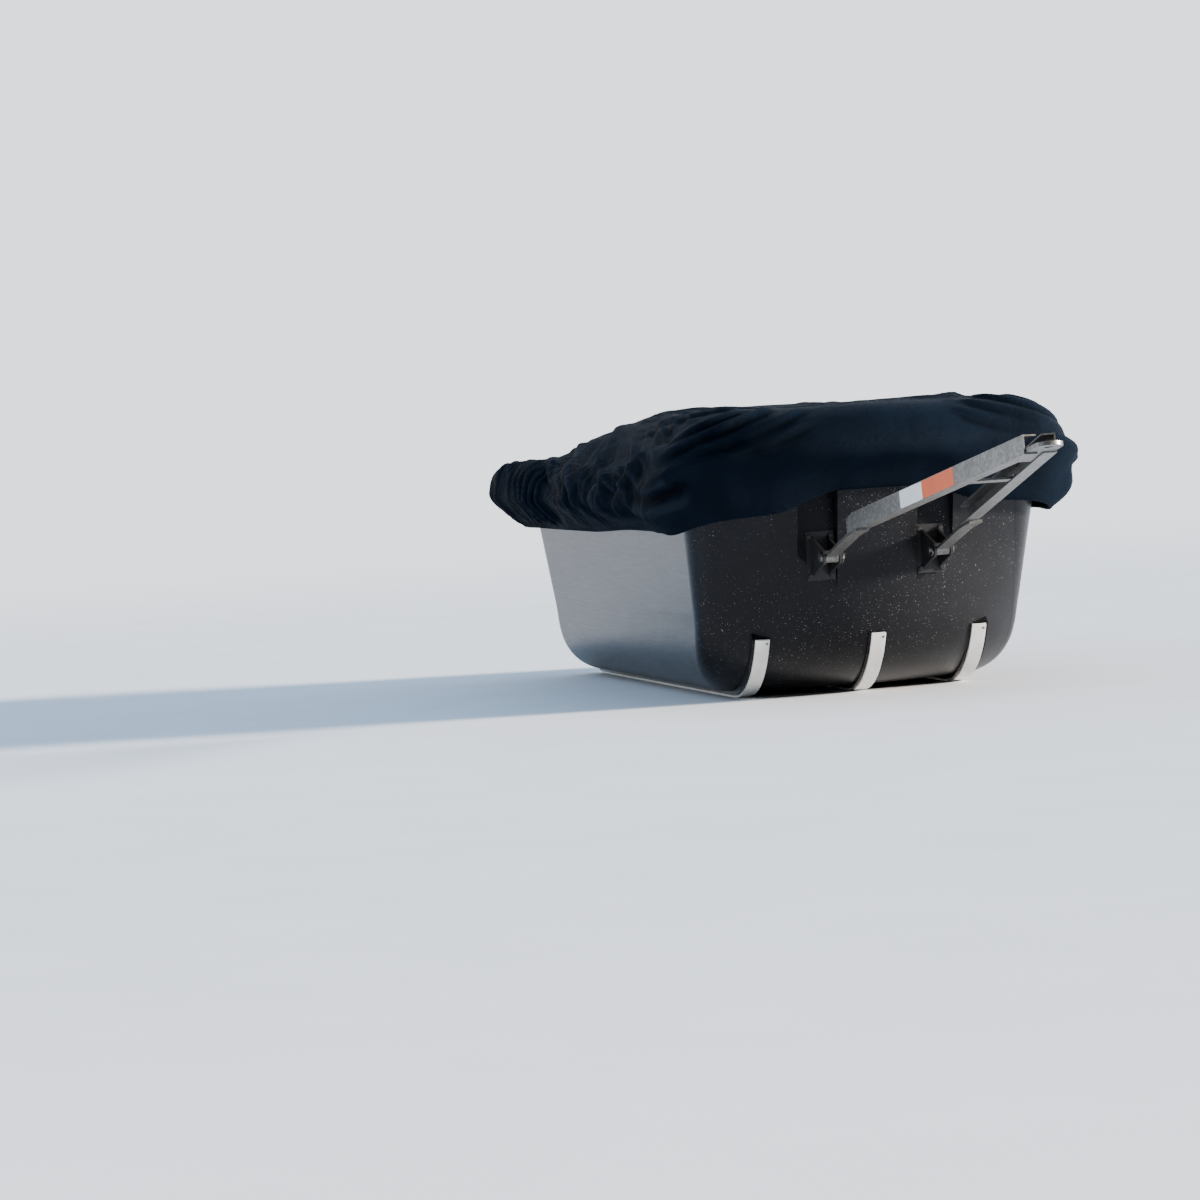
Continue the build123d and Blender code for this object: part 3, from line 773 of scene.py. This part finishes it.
def run_cloth(obj, support):
    """Let the fabric settle on the support under its weight, with its hem held."""
    for name, attribute in (("held", "hem_share"), ("slack", "slack_share")):
        group = obj.vertex_groups.new(name=name)
        shares = obj.data.attributes[attribute].data
        for v in obj.data.vertices:
            if shares[v.index].value > 0:
                group.add([v.index], shares[v.index].value, "REPLACE")
    support.modifiers.new("Collision", "COLLISION")
    support.collision.thickness_outer = 0.002
    support.collision.cloth_friction = 12
    cloth = obj.modifiers.new("Cloth", "CLOTH")
    settings = cloth.settings
    settings.quality = 6
    settings.mass = 0.15
    settings.tension_stiffness = 28
    settings.compression_stiffness = 28
    settings.shear_stiffness = 10
    settings.bending_stiffness = 3.0
    settings.tension_damping = 8
    settings.compression_damping = 8
    settings.air_damping = 3
    settings.vertex_group_mass = "held"
    settings.vertex_group_shrink = "slack"
    settings.shrink_min = 0.0
    settings.shrink_max = -CLOTH_SLACK
    cloth.collision_settings.distance_min = 0.003
    cloth.collision_settings.use_self_collision = False
    scene = bpy.context.scene
    scene.frame_start, scene.frame_end = 1, CLOTH_FRAMES
    cloth.point_cache.frame_start, cloth.point_cache.frame_end = 1, CLOTH_FRAMES
    for number in range(1, CLOTH_FRAMES + 1):
        scene.frame_set(number)
    settled = obj.evaluated_get(bpy.context.evaluated_depsgraph_get())
    places = np.array([v.co for v in settled.data.vertices])
    obj.modifiers.remove(cloth)
    scene.frame_set(1)
    return places


def cloth_start(folded, material):
    """The coarse copy that is simulated, with its held hem and its slack, and its support."""
    coarse = folded[::CLOTH_STEP, ::CLOTH_STEP]
    spokes, ring_count = coarse.shape[:2]
    faces = grid_faces(spokes, ring_count)
    cloth = mesh_object("cloth_start", coarse.reshape(-1, 3), faces, material)
    rings = np.tile(np.arange(ring_count), spokes)
    hem_share = np.where(rings == 0, 1.0, np.where(rings == 1, 0.6, 0.0))
    x = coarse[..., 0].reshape(-1)
    slack_share = (1.0 - 0.85 * smooth_step(TAUT_FROM, TAUT_TO, x)) * (1.0 - smooth_step(24, 40, rings))
    point_values(cloth, "hem_share", hem_share)
    point_values(cloth, "slack_share", slack_share)
    inner = soften(coarse, 2)
    inner = inner - grid_normals(inner) * SUPPORT_DEPTH
    support = mesh_object("cloth_support", inner.reshape(-1, 3), faces, material)
    return cloth, support


def spread_to_all(moved):
    """The coarse grid's moves, carried to the fine grid's points between them too."""
    spokes = np.empty((moved.shape[0] * CLOTH_STEP,) + moved.shape[1:])
    spokes[::2] = moved
    spokes[1::2] = (moved + np.roll(moved, -1, axis=0)) / 2
    full = np.empty((spokes.shape[0], RING_COUNT, 3))
    full[:, ::2] = spokes
    full[:, 1::2] = (spokes[:, :-1] + spokes[:, 1:]) / 2
    return full


def cloth_moves(folded, material):
    """How far the simulated fabric moves each point of the grid, capped."""
    cloth, support = cloth_start(folded, material)
    before = np.array([v.co for v in cloth.data.vertices])
    moved = run_cloth(cloth, support) - before
    size = np.linalg.norm(moved, axis=1, keepdims=True)
    moved = moved * np.minimum(1.0, CLOTH_REACH / np.maximum(size, 1e-9))
    bpy.data.objects.remove(cloth)
    bpy.data.objects.remove(support)
    coarse = (SPOKE_COUNT // CLOTH_STEP, (RING_COUNT + 1) // CLOTH_STEP, 3)
    return soften(spread_to_all(moved.reshape(coarse)), 2)


def make_cover(material):
    """The fabric: form, folds and cloth settling."""
    grid, lengths, total = cover_form()
    form = corner_billow(front_sag(soften(grid, FORM_SOFTENING)))
    folded = form + grid_normals(form) * fold_heights(form, lengths, total)[..., None]
    scallop = np.sin(loop_phase(lengths, total, FINE_SPACING))
    taut = smooth_step(TAUT_FROM, TAUT_TO, form[:, 0, 0])
    folded[:, 0, 2] += SCALLOP_HEIGHT * scallop * (1.0 - taut)
    settled = 1.0 - SPINE_HOLD * (1.0 - spine_fade(form[..., 0], form[..., 1]))
    folded = folded + cloth_moves(folded, material) * settled[..., None]
    raised = folded - form
    proud = ((raised - soften(raised, 5)) * grid_normals(form)).sum(axis=2)
    folded = soften(folded, 1)
    faces = grid_faces(SPOKE_COUNT, RING_COUNT)
    cover = mesh_object("cover_cloth", folded.reshape(-1, 3), faces, material)
    # Point values for the painted highlight on fold crests and the painted shade in fold hollows.
    point_values(cover, "crest", smooth_step(CREST_HIGHLIGHT_FROM, CREST_HIGHLIGHT_TO, proud))
    point_values(cover, "painted_fold_shade", smooth_step(FOLD_SHADE_FROM, FOLD_SHADE_TO, -proud))
    close_spine(cover)
    return cover, form, total


# Elastic hem

HEM_SPOKES, HEM_SIDES = 900, 10
HEM_INSET, HEM_LIFT = 0.0062, 0.0025
HEM_HALF_WIDTH, HEM_HALF_HEIGHT = 0.0042, 0.0062
PUCKER_SPACING, PUCKER_DEPTH = 0.021, 0.17


def make_hem(form, total, material):
    """The elastic hem: a puckered tube under the fabric's lower edge."""
    edge = form[:, 0]
    loop = np.concatenate((edge, edge[:1]))
    even = resampled(loop, HEM_SPOKES + 1)[:-1]
    onward = np.roll(even, -1, axis=0) - np.roll(even, 1, axis=0)
    onward /= np.linalg.norm(onward, axis=1, keepdims=True)
    inward = np.stack((-onward[:, 1], onward[:, 0], np.zeros(HEM_SPOKES)), axis=1)
    place = np.arange(HEM_SPOKES) / HEM_SPOKES * total
    drift = wander(41, 8, 0.1, 0.5)(even[:, 0], even[:, 1])
    pucker = 1.0 + PUCKER_DEPTH * np.sin(loop_phase(place, total, PUCKER_SPACING) + 1.5 * drift)
    vertices = []
    for i in range(HEM_SPOKES):
        centre = even[i] + inward[i] * HEM_INSET + np.array((0, 0, HEM_LIFT))
        for k in range(HEM_SIDES):
            angle = math.tau * k / HEM_SIDES
            across = HEM_HALF_WIDTH * math.cos(angle)
            if across < 0:
                across *= pucker[i]
            high = HEM_HALF_HEIGHT * math.sin(angle) * (0.85 + 0.15 * pucker[i])
            vertices.append(centre + inward[i] * across + np.array((0, 0, high)))
    faces = grid_faces(HEM_SPOKES, HEM_SIDES, closed=True)
    return mesh_object("elastic_hem", vertices, faces, material)


# Bolts, screws, clips and patches

def turned_stack(bm, sides, levels):
    """Rings of a radius and a level each, joined by faces and closed on top."""
    rings = []
    for radius, level in levels:
        rings.append([bm.verts.new((radius * math.cos(math.tau * k / sides),
                                    radius * math.sin(math.tau * k / sides), level))
                      for k in range(sides)])
    for low, high in zip(rings, rings[1:]):
        for k in range(sides):
            bm.faces.new((low[k], low[(k + 1) % sides], high[(k + 1) % sides], high[k]))
    bm.faces.new(rings[-1])


def seat(bm, place, direction):
    """Move a fastener that faces up at the origin to its place, facing a direction."""
    turn = Vector(direction).to_track_quat("Z", "Y").to_matrix().to_4x4()
    bm.transform(Matrix.Translation(Vector(place)) @ turn)


def hex_bolt(name, place, direction, height, material):
    """A hexagon head with a chamfered top on a round washer, facing a direction."""
    bm = bmesh.new()
    radius = BOLT_ACROSS / math.sqrt(3.0)
    turned_stack(bm, 6, [(radius, 0.0), (radius, height * 0.78), (radius * 0.84, height)])
    washer = radius * 1.32
    turned_stack(bm, 28, [(washer, 0.0), (washer * 0.97, height * 0.22)])
    seat(bm, place, direction)
    bmesh.ops.recalc_face_normals(bm, faces=bm.faces)
    return bmesh_object(name, bm, material)


def countersunk_screw(name, place, direction, material):
    """A flat screw head with a recessed drive, almost flush with the surface."""
    bm = bmesh.new()
    turned_stack(bm, 24, [(SCREW_RADIUS, 0.0), (SCREW_RADIUS * 0.96, 0.0005),
                          (SCREW_RADIUS * 0.42, 0.0005), (SCREW_RADIUS * 0.34, -0.0006)])
    seat(bm, place, direction)
    return bmesh_object(name, bm, material)


def web_outer(x):
    """Distance of the channel's outer face from the middle, along the bar."""
    share = (x - ROOT_X) / (TIP_X - ROOT_X)
    return ROOT_Y + share * (TIP_Y - ROOT_Y)


def web_outward(side):
    """The outward direction of an arm's web."""
    turn = math.atan2(ROOT_Y - TIP_Y, TIP_X - ROOT_X)
    return bar_direction(math.sin(turn), side * math.cos(turn), 0.0)


def blank_patch(name, side, reach, material):
    """A thin vinyl patch with rounded corners on the outer face of an arm's web."""
    x_from, x_to = reach
    low, high = BAR_RISE + PATCH_MARGIN, BAR_RISE + CHANNEL_HEIGHT - PATCH_MARGIN
    corner = PATCH_CORNER
    outline = []
    for cx, cz, start in ((x_to - corner, high - corner, 0), (x_from + corner, high - corner, 90),
                          (x_from + corner, low + corner, 180), (x_to - corner, low + corner, 270)):
        for step in range(5):
            angle = math.radians(start + 22.5 * step)
            outline.append((cx + corner * math.cos(angle), cz + corner * math.sin(angle)))
    out = web_outward(side)
    bm = bmesh.new()
    base = [bm.verts.new(bar_place(x, side * web_outer(x), z) + out * PATCH_GAP)
            for x, z in outline]
    top = [bm.verts.new(v.co + out * PATCH_THICKNESS) for v in base]
    count = len(outline)
    for k in range(count):
        bm.faces.new((base[k], base[(k + 1) % count], top[(k + 1) % count], top[k]))
    bm.faces.new(top)
    bmesh.ops.recalc_face_normals(bm, faces=bm.faces)
    return bmesh_object(name, bm, material)


def add_sled_bolts(material):
    """Two rows of bolts that hold each hitch bracket to the recess."""
    made = []
    corners = ((-1, 1), (1, 1), (-1, -1), (1, -1))
    for hand, side in HANDS:
        for number, (across, above) in enumerate(corners):
            place = (BRACKET_FACE_X, side * HITCH_Y + across * BRACKET_BOLT_Y,
                     PIVOT.z + above * BRACKET_BOLT_Z)
            made.append(hex_bolt(f"bracket_bolt_{hand}_{number}", place, (1, 0, 0),
                                 BRACKET_BOLT_HEIGHT, material))
    return made


def add_strip_screws(material):
    """One dark screw near the top end of each runner strip."""
    made = []
    outward = Vector((math.sin(SCREW_ANGLE), 0.0, -math.cos(SCREW_ANGLE)))
    for hand, y, foot_x in STRIP_FOOT:
        place = Vector((foot_x, y + SCREW_OFFSET, FOOT_RADIUS)) + outward * FOOT_RADIUS
        made.append(countersunk_screw(f"strip_screw_{hand}", place, outward, material))
    return made


def pin_clip(name, side, material):
    """A spring ring through the inboard end of a pivot pin."""
    centre = Vector((PIVOT.x, side * (HITCH_Y - PIN_END), PIVOT.z - CLIP_DROP))
    vertices = []
    for i in range(CLIP_STEPS):
        turn = math.tau * i / CLIP_STEPS
        out = Vector((math.cos(turn), CLIP_SLANT * math.cos(turn), math.sin(turn)))
        for k in range(WIRE_SIDES):
            around = math.tau * k / WIRE_SIDES
            vertices.append(centre + out * (CLIP_RADIUS + CLIP_WIRE * math.cos(around))
                            + Vector((0, CLIP_WIRE * math.sin(around), 0)))
    faces = grid_faces(CLIP_STEPS, WIRE_SIDES, closed=True)
    return mesh_object(name, vertices, faces, material)


def add_bar_bolts(material):
    """Bolts through the straps, the brace and the tongue."""
    spots = []
    channel_floor = BAR_RISE + CHANNEL_WALL
    for hand, side in HANDS:
        for number, x in enumerate(STRAP_BOLT_X):
            spots.append((f"strap_bolt_{hand}_{number}", x, side * HITCH_Y, channel_floor))
        spots.append((f"brace_bolt_{hand}", BRACE_BOLT_X,
                      side * (web_outer(BRACE_BOLT_X) - BRACE_BOLT_INSET),
                      channel_floor + BRACE_THICKNESS))
        for number, x in enumerate(TONGUE_BOLT_X):
            spots.append((f"tongue_bolt_{hand}_{number}", x,
                          side * (web_outer(x) - TONGUE_BOLT_INSET),
                          channel_floor + TONGUE_THICKNESS))
    up = bar_direction(0, 0, 1)
    return [hex_bolt(name, bar_place(x, y, z), up, BAR_BOLT_HEIGHT, material)
            for name, x, y, z in spots]


# Stage

def make_camera():
    """The camera of the fit, turned so that the photograph's centre is its centre."""
    a, e = math.radians(CAMERA_OFF_BOW), math.radians(CAMERA_HEIGHT_ANGLE)
    roll = math.radians(CAMERA_ROLL)
    back = Vector((math.cos(a) * math.cos(e), -math.sin(a) * math.cos(e), math.sin(e)))
    place = LOOK_AT + back * CAMERA_DISTANCE
    right = (-back).cross(Vector((0, 0, 1))).normalized()
    up = right.cross(-back).normalized()
    rolled_right = right * math.cos(roll) - up * math.sin(roll)
    rolled_up = right * math.sin(roll) + up * math.cos(roll)
    axes = Matrix((rolled_right, rolled_up, back)).transposed()
    across = (IMAGE_SIZE / 2 - LOOK_PIXEL[0]) / FOCAL_PIXELS
    down = (IMAGE_SIZE / 2 - LOOK_PIXEL[1]) / FOCAL_PIXELS
    centre = (axes @ Vector((across, -down, -1.0))).normalized()
    new_back = -centre
    new_right = rolled_up.cross(new_back).normalized()
    new_up = new_back.cross(new_right).normalized()
    camera = bpy.data.objects.new("camera", bpy.data.cameras.new("camera"))
    camera.data.sensor_width = SENSOR_WIDTH
    camera.data.lens = FOCAL_PIXELS / IMAGE_SIZE * SENSOR_WIDTH
    camera.data.clip_end = 200.0
    turn = Matrix((new_right, new_up, new_back)).transposed().to_4x4()
    camera.matrix_world = Matrix.Translation(place) @ turn
    bpy.context.scene.collection.objects.link(camera)
    bpy.context.scene.camera = camera


def make_stage():
    """Pale floor, pale surroundings, and a soft low key from port."""
    angles = [math.tau * k / FLOOR_SIDES for k in range(FLOOR_SIDES)]
    ring = [(FLOOR_RADIUS * math.cos(a), FLOOR_RADIUS * math.sin(a), 0.0) for a in angles]
    floor = mesh_object("floor", ring, [tuple(range(FLOOR_SIDES))], floor_material(), smooth=False)
    make_world()
    sun = bpy.data.lights.new("key", "SUN")
    sun.energy = KEY_STRENGTH
    sun.angle = math.radians(KEY_ANGLE)
    sun.color = KEY_COLOUR
    key = bpy.data.objects.new("key", sun)
    key.rotation_euler = KEY_DIRECTION.to_track_quat("Z", "Y").to_euler()
    bpy.context.scene.collection.objects.link(key)


def make_world():
    """Surroundings that are bright behind the sled, dim in front and cool overhead."""
    world = bpy.data.worlds.new("studio")
    world.use_nodes = True
    tree = world.node_tree
    background = tree.nodes["Background"]
    coords = tree.nodes.new("ShaderNodeTexCoord")
    parts = tree.nodes.new("ShaderNodeSeparateXYZ")
    tree.links.new(coords.outputs["Generated"], parts.inputs[0])
    level = ramp(tree, spread(tree, parts.outputs["X"], source=(-0.5, 0.7)),
                 [(0.0, WHITE), (1.0, (FRONT_SHARE,) * 3)])
    colour = ramp(tree, spread(tree, parts.outputs["Z"], source=(0.12, 0.8)),
                  [(0.0, BACKDROP_COLOUR), (1.0, OVERHEAD_COLOUR)])
    tree.links.new(colour, background.inputs["Color"])
    strength = tree.nodes.new("ShaderNodeMath")
    strength.operation = "MULTIPLY"
    strength.inputs[1].default_value = BACKDROP_STRENGTH
    tree.links.new(level, strength.inputs[0])
    tree.links.new(strength.outputs[0], background.inputs["Strength"])
    bpy.context.scene.world = world


# Build

def dress_nodes(materials):
    """Give each CAD node its material."""
    finish = {"hull": "hull", "runner": "runner", "hitch_bracket": "black", "pivot_pin": "zinc",
              "tow_arm": "zinc", "cross_brace": "zinc", "tongue": "zinc"}
    for name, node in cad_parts.items():
        for start, which in finish.items():
            if name.startswith(start):
                node.data.materials.clear()
                node.data.materials.append(materials[which])
    bpy.context.view_layer.update()


def build():
    """Everything, in order."""
    materials = {"hull": hull_plastic(), "runner": runner_plastic(), "zinc": zinc_steel(),
                 "black": black_steel()}
    dress_nodes(materials)
    fabric = cover_fabric("cover_fabric", 420)
    hem_fabric = cover_fabric("hem_fabric", 520)
    cover, form, total = make_cover(fabric)
    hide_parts("cover")
    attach(cover, "sled")
    hem = make_hem(form, total, hem_fabric)
    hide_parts("cover_hem")
    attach(hem, "sled")

    for bolt in add_sled_bolts(materials["black"]):
        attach(bolt, "sled")
    for screw in add_strip_screws(materials["black"]):
        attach(screw, "sled")
    for hand, side in HANDS:
        clip = pin_clip(f"pin_clip_{hand}", side, materials["zinc"])
        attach(clip, "sled")
    for bolt in add_bar_bolts(materials["zinc"]):
        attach(bolt, "tow_bar")
    white = patch_material("white_patch", (0.72, 0.73, 0.74), (0.82, 0.82, 0.82))
    orange = patch_material("orange_patch", (0.66, 0.078, 0.001), (0.72, 0.10, 0.004))
    for patch in (blank_patch("blank_patch_white", -1, WHITE_PATCH_X, white),
                  blank_patch("blank_patch_orange", -1, ORANGE_PATCH_X, orange)):
        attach(patch, "tow_bar")


make_camera()
make_stage()
build()
